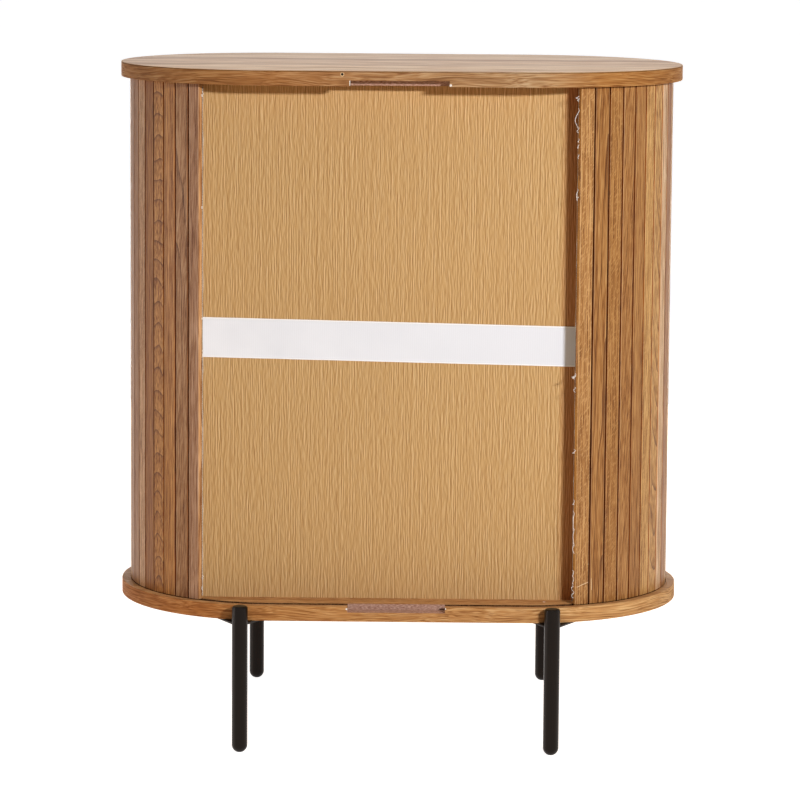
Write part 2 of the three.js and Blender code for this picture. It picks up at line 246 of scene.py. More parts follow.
def oak(name, tones, grain="Z", carried=False, spread=0.09, fibre=(1, 14), streak=(2.6, 80), rings=None,
        ring_share=0.3, ring_bend=3.5, ring_dark=0.35, pore_dark=0.4, sway=12, broad_share=0.16,
        crisp=False, roughness=(0.42, 0.56), specular=0.5, relief=0.3, painted_light_places=(), bands=(), marks=()):
    """Lacquered oak. tones are its dark, middle and pale colours, and spread says how far the figure
    strays from its middle to reach them. In millimetres, fibre and streak are widths and lengths,
    rings is the distance between growth rings, and sway how far the grain strays from straight.
    ring_bend is how far the rings wander, and broad_share how strong the broadest clouds are. A crisp
    grain has no clouds. Each strip between two places along X is painted shade, darkened by a colour;
    bands are levels of another colour, and marks small spots and scratches from one point to another."""
    material, add = emptied(bpy.data.materials.new(name))
    fibre, streak, sway = np.array(fibre) * MM, np.array(streak) * MM, sway * MM
    own = add("TexCoord").outputs["Object"]
    place = add("Attribute", attribute_name="plank").outputs["Vector"] if carried else own
    turn = {"Z": (0, 0, 0), "X": (0, -math.pi / 2, 0)}[grain]
    straight = add("Mapping", {"Vector": place, "Rotation": turn})

    def stretched(width, length, detail, seed, vector, output="Fac", beside=0):
        """Noise whose grains are about as wide and as long as given, read some grains beside."""
        scaled = add("Mapping", {"Vector": vector, "Scale": (1 / width, 1 / width, 1 / length),
                                 "Location": (seed + beside, seed * 2, seed * 3)})
        return add("TexNoise", {"Vector": scaled, "Scale": 1, "Detail": detail}).outputs[output]

    def grains(width, length, seed):
        """The figure of one grain. A crisp one is the noise less its neighbour half a grain beside."""
        near = stretched(width, length, 1, seed, along)
        if not crisp:
            return near
        neighbour = stretched(width, length, 1, seed, along, beside=0.5)
        less = add("Math", [near, neighbour], operation="SUBTRACT")
        return add("Math", [less, 0.5], operation="ADD").outputs[0]

    slow = stretched(35 * MM, 110 * MM, 1, 3.3, straight, "Color")
    along = add("VectorMath", [slow, (sway, sway, 0), straight], operation="MULTIPLY_ADD")
    fine = grains(*fibre, 1.7)
    figure = add("Mix", {0: 0.45, 2: fine, 3: grains(*streak, 5.1)})
    broad = stretched(streak[0] * 6, streak[1] * 4, 2, 9.3, along)
    figure = add("Mix", {0: broad_share, 2: figure, 3: broad})
    pores = stretched(fibre[0] * 0.9, fibre[1] * 0.8, 1, 4.1, along)
    dark = add("MapRange", {"Value": pores, "To Max": pore_dark, **pore_range})
    if rings:
        upright = add("Mapping", {"Vector": along, "Scale": (1, 1, 0.12)})
        wave = add("TexWave", {"Vector": upright, "Scale": ring_wave / (rings * MM), "Detail": 2,
                               "Distortion": ring_bend, "Detail Scale": 0.5},
                   wave_type="RINGS", rings_direction="Z", wave_profile="SAW").outputs["Fac"]
        soft = add("MapRange", {"Value": wave, "To Min": 0.5 + spread, "To Max": 0.5 - spread})
        figure = add("Mix", {0: ring_share, 2: figure, 3: soft})
        late = add("MapRange", {"Value": wave, "To Max": ring_dark, **late_wood_range})
        dark = add("Math", [dark, late], operation="MAXIMUM")
    colour = add("ValToRGB", {"Fac": figure})
    colour.color_ramp.elements.new(0.5)
    for element, offset, tone in zip(colour.color_ramp.elements, (-spread, 0, spread), tones):
        element.position = 0.5 + offset
        element.color = linear(tone)

    layers = [(dark, tones[0], "MULTIPLY")]
    if carried:
        tint = add("Attribute", attribute_name="tint").outputs
        leaning = add("Mapping", {"Vector": along, "Rotation": (0, 0.5, 0)})
        flecks = stretched(1.5 * MM, 7 * MM, 1, 2.9, leaning)
        flecks = add("MapRange", {"Value": flecks, **fleck_range})
        flecks = add("Math", [flecks, tint["Alpha"]], operation="MULTIPLY")
        # The slats' face edges are paled by wear and a painted highlight.
        worn = add("Attribute", attribute_name="worn").outputs["Fac"]
        layers += [(flecks, tones[2], "MIX"), (1, tint["Color"], "MULTIPLY"), (worn, "#e4bf92", "MIX")]
    apart = add("SeparateXYZ", [own]).outputs if painted_light_places or bands else None
    # Painted shade: each strip between two places along X is darkened by a colour.
    for start_x, end_x, hex_colour in painted_light_places:
        inside = add("MapRange", {"Value": apart["X"], "From Min": start_x, "From Max": end_x})
        layers.append((inside, hex_colour, "MULTIPLY"))
    for middle, half, hex_colour, share in bands:
        inside = add("Math", [apart["Z"], middle, half], operation="COMPARE")
        layers.append((add("Math", [inside, share], operation="MULTIPLY"), hex_colour, "MIX"))
    for begin, end, radius, hex_colour in marks:
        run = np.subtract(end, begin)
        torn = add("Math", [fine, 0.8 * radius, 0.6 * radius], operation="MULTIPLY_ADD")
        away = add("VectorMath", [own, begin], operation="SUBTRACT")
        share = add("VectorMath", [away, run / max(run @ run, MM**3)], operation="DOT_PRODUCT")
        share = add("Clamp", [share.outputs["Value"]])
        near = add("VectorMath", {0: run, "Scale": share}, operation="SCALE")
        away = add("VectorMath", [away, near], operation="DISTANCE")
        inside = add("Math", [away.outputs["Value"], torn], operation="LESS_THAN")
        layers.append((inside, hex_colour, "MIX"))
    for factor, other, blend in layers:
        other = linear(other) if isinstance(other, str) else other
        colour = add("Mix", {0: factor, 6: colour, 7: other}, data_type="RGBA", blend_type=blend)

    gloss = add("MapRange", {"Value": figure, "From Min": 0.4, "From Max": 0.6,
                             "To Min": roughness[1], "To Max": roughness[0]})
    pitted = add("Math", [fine, dark], operation="SUBTRACT")
    normal = add("Bump", {"Height": pitted, "Strength": relief, "Distance": 0.15 * MM})
    surface = add("BsdfPrincipled", {"Base Color": colour, "Roughness": gloss, "Normal": normal,
                                     "Specular IOR Level": specular})
    add("OutputMaterial", {"Surface": surface})
    return material


print("growth rings 1 m apart need a wave scale of", round(ring_wave, 3))

# %% [markdown]
# ## The oak of each piece
#
# The top has a pale figured veneer with its grain along the cabinet. The edges are banded with
# veneer whose grain runs round the board, with a dark line of glue and, where it meets the top, a
# pale band on the arris that is a painted highlight. The slats are cut from many planks, and the back
# panel is a plain straight-grained sheet with a strip of painted shade beside the door's edge, where
# its shadow falls. The milling of the slots chipped the edge band at their ends, and a nail left a
# small hole whose dark inside is painted shade. These marks could be modelled, but they are too
# shallow to cast a shadow from here, so they are part of the finish.
# %% Marks
glue_line = 0.7 * MM
chip_radius = 1.6 * MM
chip = "#efe6da"
pinhole = (78.9 * MM, top_high.z - 4.7 * MM)
scratch_radius = 0.5 * MM


def spot(x, z, radius, hex_colour, rise=0, y=end_radius):
    """A mark on the back, or a scratch that rises from it."""
    return (x, y, z), (x, y, z + rise), radius, hex_colour


def scratch(x, z, to_x, to_z):
    """A fine scratch on the slats of a rounded end, between two places of their face."""
    ends = [(across, math.sqrt(slat_face**2 - (abs(across) - end_centre) ** 2), height)
            for across, height in ((x, z), (to_x, to_z))]
    return *ends, scratch_radius, "#e2c69c"


# The black spot in the pinhole is painted shade inside the hole.
top_marks = [spot(-half_slot - chip_radius, case_ceiling + 1.5 * chip_radius, chip_radius, chip),
             spot(half_slot + 0.2 * chip_radius, case_ceiling + chip_radius, 0.5 * chip_radius, chip,
                  rise=3.5 * chip_radius),
             spot(*pinhole, 1.7 * chip_radius, "#dcb88a"), spot(*pinhole, 1.15 * chip_radius, "#060403")]
bottom_marks = [
    spot(half_slot + 0.5 * chip_radius, case_floor - 2 * chip_radius, 0.9 * chip_radius, chip),
    spot(-half_slot - 0.5 * chip_radius, case_floor - chip_radius, 0.6 * chip_radius, chip)]
face_marks = [spot(-207 * MM, case_floor, 1.2 * chip_radius, "#f4ece2", y=177 * MM)]
scratches = [scratch(-252.4 * MM, 230.2 * MM, -268.1 * MM, 236.2 * MM),
             scratch(-267.3 * MM, 261.5 * MM, -267.9 * MM, 262 * MM),
             scratch(-272 * MM, 241 * MM, -272.8 * MM, 225 * MM)]
print("marks", len(top_marks + bottom_marks + face_marks + scratches))

# %% Oak finishes
top_veneer = oak("lacquered_oak_top", ("#9a6b42", "#cfa67d", "#e6c7a2"), "X", fibre=(3.2, 90),
                 streak=(7, 500), rings=34, ring_bend=2, spread=0.06, sway=5, roughness=(0.36, 0.48),
                 specular=0.44)
case_tones = ("#96643a", "#b98652", "#cfa06b")
matt = {"roughness": (0.6, 0.72)}
case_veneer = oak("lacquered_oak_case", case_tones, "X", specular=0.15, marks=face_marks, **matt)
upright_veneer = oak("lacquered_oak_upright", case_tones, specular=0.3)
# The back panel carries a strip of painted shade beside the door's edge, where its shadow falls.
panel_veneer = oak("straight_oak_sheet", ("#a57b4b", "#c79e68", "#e2be8b"), fibre=(2, 19),
                   streak=(1.9, 190), spread=0.19, pore_dark=0.12, sway=3, broad_share=0, crisp=True,
                   roughness=(0.55, 0.68), specular=0.15, relief=1.5,
                   painted_light_places=[(-224 * MM, -236 * MM, "#f2d2c4")])
band_tones = ("#8c5a32", "#b8804c", "#d0a06c")
band_look = {"grain": "X", "carried": True, "fibre": (0.9, 40), "streak": (1.6, 120), "specular": 0.2,
             "pore_dark": 0.5, "spread": 0.13, **matt}
# The pale band at the top arris is a painted highlight; the dark band under it is the glue line.
top_band = oak("oak_edge_band_top", band_tones, marks=top_marks, **band_look,
               bands=[(top_high.z, glue_line / 2, "#d9b284", 0.6),
                      (top_high.z - 1.4 * glue_line, 0.9 * glue_line, "#4a2a10", 0.65)])
bottom_band = oak("oak_edge_band_bottom", band_tones, marks=bottom_marks, **band_look)
slat_oak = oak("lacquered_oak_slats", ("#7e502c", "#b48451", "#d5ab78"), carried=True, rings=3.6,
               fibre=(0.8, 30), streak=(1.8, 110), ring_share=0.24, ring_bend=1.4, ring_dark=0.65,
               pore_dark=0.35, sway=4, specular=0.3, marks=scratches)
print("oak finishes", sum("oak" in m.name for m in bpy.data.materials))

# %% [markdown]
# ## Board, cloth and metal finishes
#
# Where the boards were milled, their fibres are torn and rough. The canvas is plain woven cotton,
# pale where it frays, and painted dark brown between the slats as painted shade in the gaps. The
# legs are steel with a satin black powder coat, whose fine grain breaks the reflections. The rods
# were ground round before, and those fine rings draw each highlight out along the rod. The screws
# and pins are zinc plated. One function serves them all, since each is a colour and a height that
# one noise mottles.
# %% Other finishes
def mottled(name, dark, pale, grain, depth, **fixed):
    """A surface whose colour and height vary with a noise: its grain along X, Y and Z and its depth
    in millimetres. fixed are the shader's own numbers."""
    material, add = emptied(bpy.data.materials.new(name))
    own = add("TexCoord").outputs["Object"]
    scaled = add("Mapping", {"Vector": own, "Scale": tuple(1 / (width * MM) for width in grain)})
    noise = add("TexNoise", {"Vector": scaled, "Scale": 1, "Detail": 4}).outputs["Fac"]
    share = add("MapRange", {"Value": noise, "From Min": 0.36, "From Max": 0.64})
    colour = add("Mix", {0: share, 6: linear(dark), 7: linear(pale)}, data_type="RGBA")
    normal = add("Bump", {"Height": noise, "Strength": 0.5, "Distance": depth * MM})
    surface = add("BsdfPrincipled", {"Base Color": colour, "Normal": normal, **fixed})
    add("OutputMaterial", {"Surface": surface})
    return material


rough = {"Roughness": 0.95, "Specular IOR Level": 0.1}
cloth = {**rough, "Sheen Weight": 0.2}
painted_shade_matt = {"Roughness": 1.0, "Specular IOR Level": 0.0}
black = {"Specular Tint": linear("#ffece2")}
coat = {**black, "Roughness": 0.28, "Specular IOR Level": 0.12}
ground = {**black, "Roughness": 0.32, "Specular IOR Level": 0.155, "Anisotropic": 0.85,
          "Anisotropic Rotation": 0.25}
zinc = {"Roughness": 0.34, "Metallic": 1.0}
milled_board = mottled("milled_raw_board", "#8d6450", "#caa490", (4, 0.8, 0.8), 0.3, **rough)
# The groove is milled oak like the slot, painted dark as painted shade in the recess.
groove_painted_shade = mottled("milled_groove_painted_shade", "#3a2414", "#6b4a32", (3, 3, 3), 0.3, **rough)
canvas_cloth = mottled("cotton_canvas", "#cfc1ab", "#f0e8da", (1.2, 1.2, 1.2), 0.2, **cloth)
# Between the slats the canvas is painted near black-brown as painted shade in the gaps.
painted_shade_canvas = mottled("painted_shade_canvas_between_slats", "#4a1e06", "#60300e", (2, 2, 6), 0.2, **painted_shade_matt)
frayed_cotton = mottled("frayed_cotton", "#f4ede2", "#fffcf6", (2, 2, 2), 0.2, **cloth)
powder_coat = mottled("satin_black_powder_coat", "#0e0a08", "#15100d", (0.9, 0.9, 0.9), 0.01, **coat)
coated_rod = mottled("satin_black_on_ground_rod", "#0c0907", "#120e0b", (0.9, 0.9, 0.9), 0.01, **ground)
zinc_plate = mottled("bright_zinc_plate", "#8e9093", "#b3b5b8", (0.8, 0.8, 4), 0.02, **zinc)
print("finishes", len(bpy.data.materials))

# %% [markdown]
# The tape is a white woven band with fine ribs across it and a firmer, whiter edge on each side. Its
# colour turns a little greyer towards one end. The ribs are drawn 3 mm apart, coarser than the real
# ones, so that they show.
# %% Tape finish
tape_low, tape_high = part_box("back_joint_tape")
tape_tilt = math.radians(1.02)
tape_run, tape_rise = tape_high.x - tape_low.x, tape_high.z - tape_low.z
tape_width = tape_rise * math.cos(tape_tilt) - tape_run * math.sin(tape_tilt)
tape_width /= math.cos(2 * tape_tilt)
tape_length = (tape_run - tape_width * math.sin(tape_tilt)) / math.cos(tape_tilt)
rib_spacing = 3 * MM
firm_edge = 1.6 * MM

tape_finish, add = emptied(bpy.data.materials.new("ribbed_white_tape"))
place = add("Attribute", attribute_name="plank").outputs["Vector"]
apart = add("SeparateXYZ", [place]).outputs
whiter_share = add("MapRange", {"Value": apart["X"], "From Min": -tape_length / 2, "From Max": tape_length / 2})
cloud = add("TexNoise", {"Vector": place, "Scale": 14, "Detail": 3}).outputs["Fac"]
whiter_share = add("Math", [whiter_share, cloud], operation="MULTIPLY")
ribs = add("TexWave", {"Vector": place, "Scale": ring_wave / rib_spacing, "Distortion": 0.6},
           wave_type="BANDS", bands_direction="X").outputs["Fac"]
shade = add("MapRange", {"Value": ribs, "To Min": 0.0, "To Max": 0.05})
from_middle = add("Math", [apart["Y"]], operation="ABSOLUTE")
edge = add("Math", [from_middle, tape_width / 2 - firm_edge], operation="GREATER_THAN")
colour = linear("#e9eaee")
for share, hex_colour in ((whiter_share, "#fdfdff"), (shade, "#b9b5b0"), (edge, "#fffdfa")):
    colour = add("Mix", {0: share, 6: colour, 7: linear(hex_colour)}, data_type="RGBA")
normal = add("Bump", {"Height": ribs, "Strength": 0.3, "Distance": 0.1 * MM})
surface = add("BsdfPrincipled", {"Base Color": colour, "Normal": normal, "Roughness": 0.75,
                                 "Specular IOR Level": 0.2})
add("OutputMaterial", {"Surface": surface})
print("tape", round(tape_length, 4), "by", round(tape_width, 4))

# %% [markdown]
# ## Surfaces as a profile carried round an outline
#
# A board, a slat, a plate and a rod are all the same kind of shape: an outline in plan, and a
# profile that says how far the surface lies inside that outline at each height. Eased edges are an
# arc in the profile. Carrying the profile round the outline gives a grid of points, and two flat
# caps close it. Boxes with bevels would be quicker, but would leave no say over where the grain, the
# wear and the finishes change.
# %% Grid and skin
def joined(*values):
    """Numbers and arrays of them joined in a last axis, as the coordinates of points."""
    return np.stack(np.broadcast_arrays(*values), -1)


def wrap(outline, outward, profile):
    """Points on a grid: plan point i moved in, against its outward direction, by the inset of profile
    pair j, at that pair's height."""
    inset, height = np.asarray(profile, float).T
    x, y = np.moveaxis(outline[:, None] - inset[:, None] * outward[:, None], 2, 0)
    return joined(x, y, height)


def turned(profile, centre, steps=48):
    """Points on a grid: a profile of (radius, height) pairs turned round an upright line, so that
    point (i, j) lies at angle 2 pi i / steps and at pair j."""
    angle = np.arange(steps) / steps * 2 * math.pi
    outward = joined(np.cos(angle), np.sin(angle))
    return wrap(outward * 0 + centre, outward, np.asarray(profile) * [-1, 1])


def skin(grid, strips=0, caps=(0, 0), **fields):
    """Faces over a grid whose rows close in a ring, with a flat cap at both ends. strips and caps are
    the finishes of the strips between columns and of the two caps. fields go with the points."""
    rows, columns = grid.shape[:2]
    near = np.arange(rows * columns).reshape(rows, columns)
    far = np.roll(near, -1, 0)
    quads = np.stack([near[:, :-1], far[:, :-1], far[:, 1:], near[:, 1:]], -1).reshape(-1, 4)
    return {"points": grid.reshape(-1, 3), "fields": fields,
            "faces": quads.tolist() + [near[::-1, 0].tolist(), near[:, -1].tolist()],
            "finishes": np.broadcast_to(strips, (rows, columns - 1)).ravel().tolist() + list(caps),
            "smooth": [True] * len(quads) + [False, False]}


print("a turned ring of four points has", len(skin(turned([(1, 0), (1, 1)], (0, 0), 4))["faces"]), "faces")

# %% Pieces
field_kinds = {"plank": ("FLOAT_VECTOR", "vector", [0, 0, 0]),
               "tint": ("FLOAT_COLOR", "color", [1, 1, 1, 0]),
               "worn": ("FLOAT", "value", [0])}


def place_piece(mesh, body, node=None, sharp=50):
    """The object of a finished mesh: its sharp edges, its body, and the node it stands for."""
    mesh.set_sharp_from_angle(angle=math.radians(sharp))
    piece = bpy.data.objects.new(mesh.name, mesh)
    bpy.context.scene.collection.objects.link(piece)
    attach(piece, body)
    if node:
        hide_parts(node)
    return piece


def build(name, shells, materials, slot, body="cabinet_frame", node=None, sharp=50, merge=0):
    """One piece from closed shells: its mesh with their fields and finishes, placed."""
    starts = np.cumsum([0] + [len(shell["points"]) for shell in shells])
    points = np.concatenate([shell["points"] for shell in shells])
    faces = [[index + start for index in face] for shell, start in zip(shells, starts)
             for face in shell["faces"]]
    mesh = bpy.data.meshes.new(name)
    mesh.from_pydata(points.tolist(), [], faces)
    for material in materials:
        mesh.materials.append(material)
    mesh.polygons.foreach_set("material_index", sum((shell["finishes"] for shell in shells), []))
    mesh.polygons.foreach_set("use_smooth", sum((shell["smooth"] for shell in shells), []))
    carried = any(shell["fields"] for shell in shells)
    for field, (kind, key, plain) in field_kinds.items() if carried else ():
        values = [np.broadcast_to(shell["fields"].get(field, plain), (len(shell["points"]), len(plain)))
                  for shell in shells]
        layer = mesh.attributes.new(field, kind, "POINT")
        layer.data.foreach_set(key, np.concatenate(values).astype(np.float32).ravel())
    if merge:
        edit = bmesh.new()
        edit.from_mesh(mesh)
        bmesh.ops.remove_doubles(edit, verts=edit.verts, dist=merge)
        edit.to_mesh(mesh)
        edit.free()
    return place_piece(mesh, body, node, sharp)


def dress(node, shells, materials, slot, **how):
    """The piece that stands for a node."""
    return build(f"{node}_dressed", shells, materials, slot, node=node, **how)


def eased(low, high, ease, steps=4):
    """A profile from the bottom cap to the top cap with a quarter circle at each edge."""
    turn = np.linspace(0, math.pi / 2, steps + 1)
    wide, narrow = ease * (1 - np.sin(turn)), ease * (1 - np.cos(turn))
    return np.concatenate([joined(wide, low + narrow), joined(narrow, high - wide)])


print("fields that a piece can carry:", sorted(field_kinds))

# %% [markdown]
# ## The two oval boards
#
# Each board is a plate with a rounded edge and a groove milled into one face. The profile goes from
# the middle of the grooved face through the groove, over the lip and up the edge. At the middle of
# the back a slot was milled from the edge to the groove, to feed the doors in: there the lip's
# points are lifted to the bottom of the groove, with torn fibres left along it. A cut with a boolean
# would do, but it leaves long thin faces that shade badly.
# %% Board outline
arc_steps = 96
slot_step = 1.0 * MM
seam_width = 0.2 * MM
# Two half circles joined by straight sides, counter-clockwise from a seam at the front.
arc = np.linspace(-math.pi / 2, math.pi / 2, arc_steps + 1)
slot_x = np.linspace(half_slot, -half_slot, round(2 * half_slot / slot_step) + 1)
beside = np.linspace(end_centre, half_slot, 12)[1:-1]
back_x = np.concatenate([beside, slot_x, -beside[::-1]])
front_x = np.linspace(0, end_centre, 12)[:-1]
left_x = np.linspace(-end_centre, -seam_width, 12)[1:]
right_end = joined(end_centre + end_radius * np.cos(arc), end_radius * np.sin(arc))
outline = np.concatenate([joined(front_x, -end_radius), right_end, joined(back_x, end_radius),
                          -right_end, joined(left_x, -end_radius)])
outward = outline / end_radius
outward[:, 0] = (outline[:, 0] - np.clip(outline[:, 0], -end_centre, end_centre)) / end_radius
distance = np.concatenate([[0], np.cumsum(np.linalg.norm(np.diff(outline, axis=0), axis=1))])
print("outline", len(outline), "points,", round(distance[-1], 3), "m round")

# %% Boards
arris = 0.9 * MM
tear = 0.3 * MM
tear_random = np.random.default_rng(11)
lip = end_radius - groove_outer
inner = end_radius - groove_inner
edge_profile = eased(0, board_thickness, arris)
half_edge = len(edge_profile) // 2
board_profile = np.concatenate([
    [[inner, 0], [inner, groove_depth], [lip, groove_depth], [lip, 0]],
    edge_profile[:half_edge], [[0, groove_depth]], edge_profile[half_edge:],
])
edge_band, groove, grooved_face, raw_board, far_face = range(5)
# The edge's colour is multiplied by a tint given at four places along it, browner towards one end
# of the cabinet and paler towards the other. Its grain rises and falls a little along the board.
tint_places = np.array([-1.6, -1, 1, 1.6]) * end_centre
top_tints = [(0.77, 0.72, 0.57), (0.9, 1.12, 1.5), (0.76, 0.71, 0.67), (0.74, 0.7, 0.62)]
bottom_tints = [(1.18, 1.35, 1.45), (1.03, 1.11, 1.15), (1.01, 0.99, 0.89), (0.91, 0.73, 0.54)]
grain_rise = 3 * MM
grain_run = 75 * MM
board_strips = np.full(len(board_profile) - 1, edge_band)
board_strips[:4] = [groove, groove, groove, grooved_face]


def grooved_board(node, face_height, up, tints, materials):
    """An oval board whose grooved face lies at a height. up is 1 where the board lies above it.
    tints are those of its edge."""
    inset, height = board_profile.T
    grid = wrap(outline, outward, board_profile * [1, up] + [0, face_height])
    in_slot = (np.abs(outline[:, 0]) <= half_slot + slot_step / 4) & (outline[:, 1] > 0)
    first, last = np.flatnonzero(in_slot)[[0, -1]]
    # Two rows stand at each end of the slot, one with the lip and one without it.
    rows = np.sort(np.concatenate([np.arange(len(outline)), [first, last]]))
    grid, cut = grid[rows], in_slot[rows]
    cut[[first, last + 2]] = False
    lifted = (inset <= lip + arris / 4) & (height <= groove_depth)
    torn = groove_depth + tear * tear_random.uniform(-0.6, 0.2, len(rows))
    grid[np.ix_(cut, lifted, [2])] = (face_height + up * torn[cut])[:, None, None]
    strips = np.tile(board_strips, (len(rows), 1))
    milled = cut | np.roll(cut, -1)
    strips[np.ix_(milled, np.arange(len(board_strips)) < 4 + half_edge)] = raw_board
    waves = grain_rise * np.sin(distance[rows][:, None] / grain_run)
    plank = joined(distance[rows][:, None], inset, grid[..., 2] + waves)
    caps = (grooved_face, far_face)
    if up < 0:
        grid, strips, plank, caps = grid[:, ::-1], strips[:, ::-1], plank[:, ::-1], caps[::-1]
    tint = [np.interp(grid[..., 0].ravel(), tint_places, channel) for channel in zip(*tints)]
    shell = skin(grid, strips, caps, plank=plank.reshape(-1, 3), tint=joined(*tint, 0))
    return dress(node, [shell], materials, "oak_boards", merge=0.001 * MM)


top = grooved_board("top_board", case_ceiling, 1, top_tints,
                    [top_band, groove_painted_shade, case_veneer, milled_board, top_veneer])
bottom = grooved_board("bottom_board", case_floor, -1, bottom_tints,
                       [bottom_band, groove_painted_shade, case_veneer, milled_board, case_veneer])
print("top board faces", len(top.data.polygons), "bottom", len(bottom.data.polygons))

# %% [markdown]
# ## The slats
#
# Each slat is a strip of oak 8 mm thick with eased edges, glued to the canvas. Its place is read
# from the piece that it stands for, and it is set a hair off it, as glued strips are. No two slats
# come from the same plank, so each one carries its own place in a plank, its own lean against the
# growth rings, which draws arches on some of them, and its own tint. Wear and a painted highlight
# pale the edges of the face, painted shade darkens the sides towards the canvas, and the side that
# stands open is painted lighter. One slat copied round the track would be quicker, but all of them
# would then show one grain.
# %% Where the slats stand
slat_ease = 1.2 * MM


def slat_places(node):
    """For each slat of a node: the middle of its foot, its outward direction and its half width."""
    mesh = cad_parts[node].data
    points = np.zeros(len(mesh.vertices) * 3)
    mesh.vertices.foreach_get("co", points)
    plan = np.unique(points.reshape(-1, 3)[:, :2].round(6), axis=0)
    side = 1 if node.startswith("right") else -1
    hub = np.array([side * end_centre, 0])
    reach = plan - hub
    if node.endswith("end_slats"):
        radius = np.hypot(*reach.T)
        corners = reach[radius > radius.max() - 0.2 * MM] * side
        pairs = np.sort(np.arctan2(corners[:, 1], corners[:, 0])).reshape(-1, 2)
        middles = pairs.mean(1)
        halves = slat_face * np.tan((pairs[:, 1] - pairs[:, 0]) / 2) + slat_ease
        outs = side * joined(np.cos(middles), np.sin(middles))
        return [(hub + canvas_radius * out, out, half) for out, half in zip(outs, halves)]
    middle = (plan.min(0) + plan.max(0)) / 2
    if middle[0] * side <= end_centre:
        out = np.array([0, np.sign(middle[1])])
        return [(np.array([middle[0], canvas_radius * out[1]]), out, np.ptp(plan[:, 0]) / 2)]
    out = unit(reach.mean(0))
    return [(hub + canvas_radius * out, out, np.abs(reach @ np.array([out[1], -out[0]])).max())]


door_nodes = nodes_with("_door_")
print("door pieces", len(door_nodes), "slats on the right end", len(slat_places("right_door_end_slats")))

# %% Sections
corner_steps = 4
flank = 0.3 * MM
back_ease = 0.3 * MM
lip_width = 11 * MM
lip_undercut = 1.5 * MM


def rounded(corners, radii):
    """A closed outline with each corner replaced by an arc that touches both its sides and has one
    more point on either flank: the points and their outward directions. Corners run
    counter-clockwise."""
    points, outs = [], []
    corners = np.array(corners, float)
    turns = zip(corners, np.roll(corners, 1, 0) - corners, np.roll(corners, -1, 0) - corners, radii)
    for corner, before, after, radius in turns:
        before, after = unit(before), unit(after)
        out_before, out_after = np.array([-before[1], before[0]]), np.array([after[1], -after[0]])
        bend = math.acos(np.clip(out_before @ out_after, -1, 1))
        hollow = -1 if np.cross(-before, after) < 0 else 1
        reach = radius * math.tan(bend / 2)
        share = np.linspace(0, 1, corner_steps + 1)[:, None]
        arc_outs = unit(out_before * np.sin((1 - share) * bend) + out_after * np.sin(share * bend))
        centre = corner + before * reach - out_before * radius * hollow
        beside = reach + flank
        points += [corner + before * beside, *(centre + arc_outs * radius * hollow), corner + after * beside]
        outs += [out_before, *arc_outs, out_after]
    return np.array(points), np.array(outs)


def oblong(left, right, bottom, top):
    """The corners of a rectangle, counter-clockwise."""
    return np.array([[left, bottom], [right, bottom], [right, top], [left, top]])


def slat_section(half):
    """Corners of a plain slat across and out from its foot, and the radii of their easing."""
    return oblong(-half, half, 0, slat_thickness), [back_ease, back_ease, slat_ease, slat_ease]


def stile_section(half, lip_side):
    """Corners of the leading stile, whose leading edge stands up as a lip to pull it by."""
    corners = np.array([[-half, 0], [half, 0], [half, slat_thickness],
                        [lip_width - lip_undercut - half, slat_thickness],
                        [lip_width - half, slat_thickness + lip_rise], [-half, slat_thickness + lip_rise]])
    radii = [back_ease, back_ease, slat_ease, back_ease, slat_ease, slat_ease]
    return (corners, radii) if lip_side < 0 else ((corners * [-1, 1])[::-1], radii[::-1])


print("slat section points", len(rounded(*slat_section(slat_thickness))[0]))

# %% Planks and tints
# Each cut of plank: the place of the slat in the tree, across and into it from the heart in
# millimetres, how far it leans against the rings, and how strongly pale flecks show.
cuts = {
    "straight": ((95, 8), (0.004, 0.006), 0.2), "flecked": ((110, 4), (0.003, 0.003), 1),
    "arched": ((2, 26), (0, 0.12), 0), "slanted": ((45, 45), (0.05, 0.03), 0.3),
    "waved": ((70, 50), (0.015, 0.02), 0.6), "peaked": ((5, 14), (0.006, 0.012), 0.1),
    "nested": ((3, 60), (0.015, -0.06), 0.2),
}
# Each tint multiplies the oak's own red, green and blue. The two palest, on slats seen at a slant far
# round the ends, also carry a painted sheen.
tints = {
    "rosy": (0.84, 0.83, 1.15), "dusky": (0.77, 0.7, 0.75), "dun": (0.745, 0.62, 0.54),
    "ruddy": (0.97, 0.78, 0.5), "umber": (0.81, 0.6, 0.37), "ashen_painted_sheen": (1.18, 1.23, 1.58),
    "golden": (0.85, 0.78, 0.66), "tan": (0.745, 0.63, 0.45), "russet": (0.735, 0.62, 0.46),
    "straw": (1.04, 1.02, 0.82), "rosy_painted_sheen": (1.49, 1.78, 2.45),
}
# The slats that show at the back, from each door's trailing edge: their tint and cut.
right_seen = [("rosy", "straight"), ("dusky", "slanted"), ("ruddy", "straight"), ("ruddy", "arched"),
              ("umber", "straight"), ("ashen_painted_sheen", "waved"), ("dun", "straight"), ("rosy", "straight")]
left_seen = [("golden", "flecked"), ("russet", "peaked"), ("tan", "flecked"), ("russet", "slanted"),
             ("tan", "straight"), ("straw", "waved"), ("straw", "nested"), ("rosy_painted_sheen", "straight")]
seen = {"right": right_seen, "left": left_seen}
common = right_seen[:3] + right_seen[4:] + left_seen[:5]
# How much of its colour a slat's side keeps under painted shade, and how much it is painted lighter where it
# stands open.
painted_shade_share = np.array([0.6, 0.28, 0.07])
open_side_painted_light = np.array([1.4, 1.35, 1.0])
slat_random = np.random.default_rng(7)


def last_slat(word):
    """The slat at a door's trailing edge."""
    return nodes_with(f"{word}_door_back_slat")[-1]


def choose(node):
    """The tint and cut of a slat: by its place in the list of seen ones, or else a common one."""
    word = node.split("_")[0]
    if "_back_slat_" in node:
        return seen[word][int(last_slat(word)[-2:]) - int(node[-2:])]
    return common[slat_random.integers(len(common))]


print("cuts", len(cuts), "tints", len(tints))

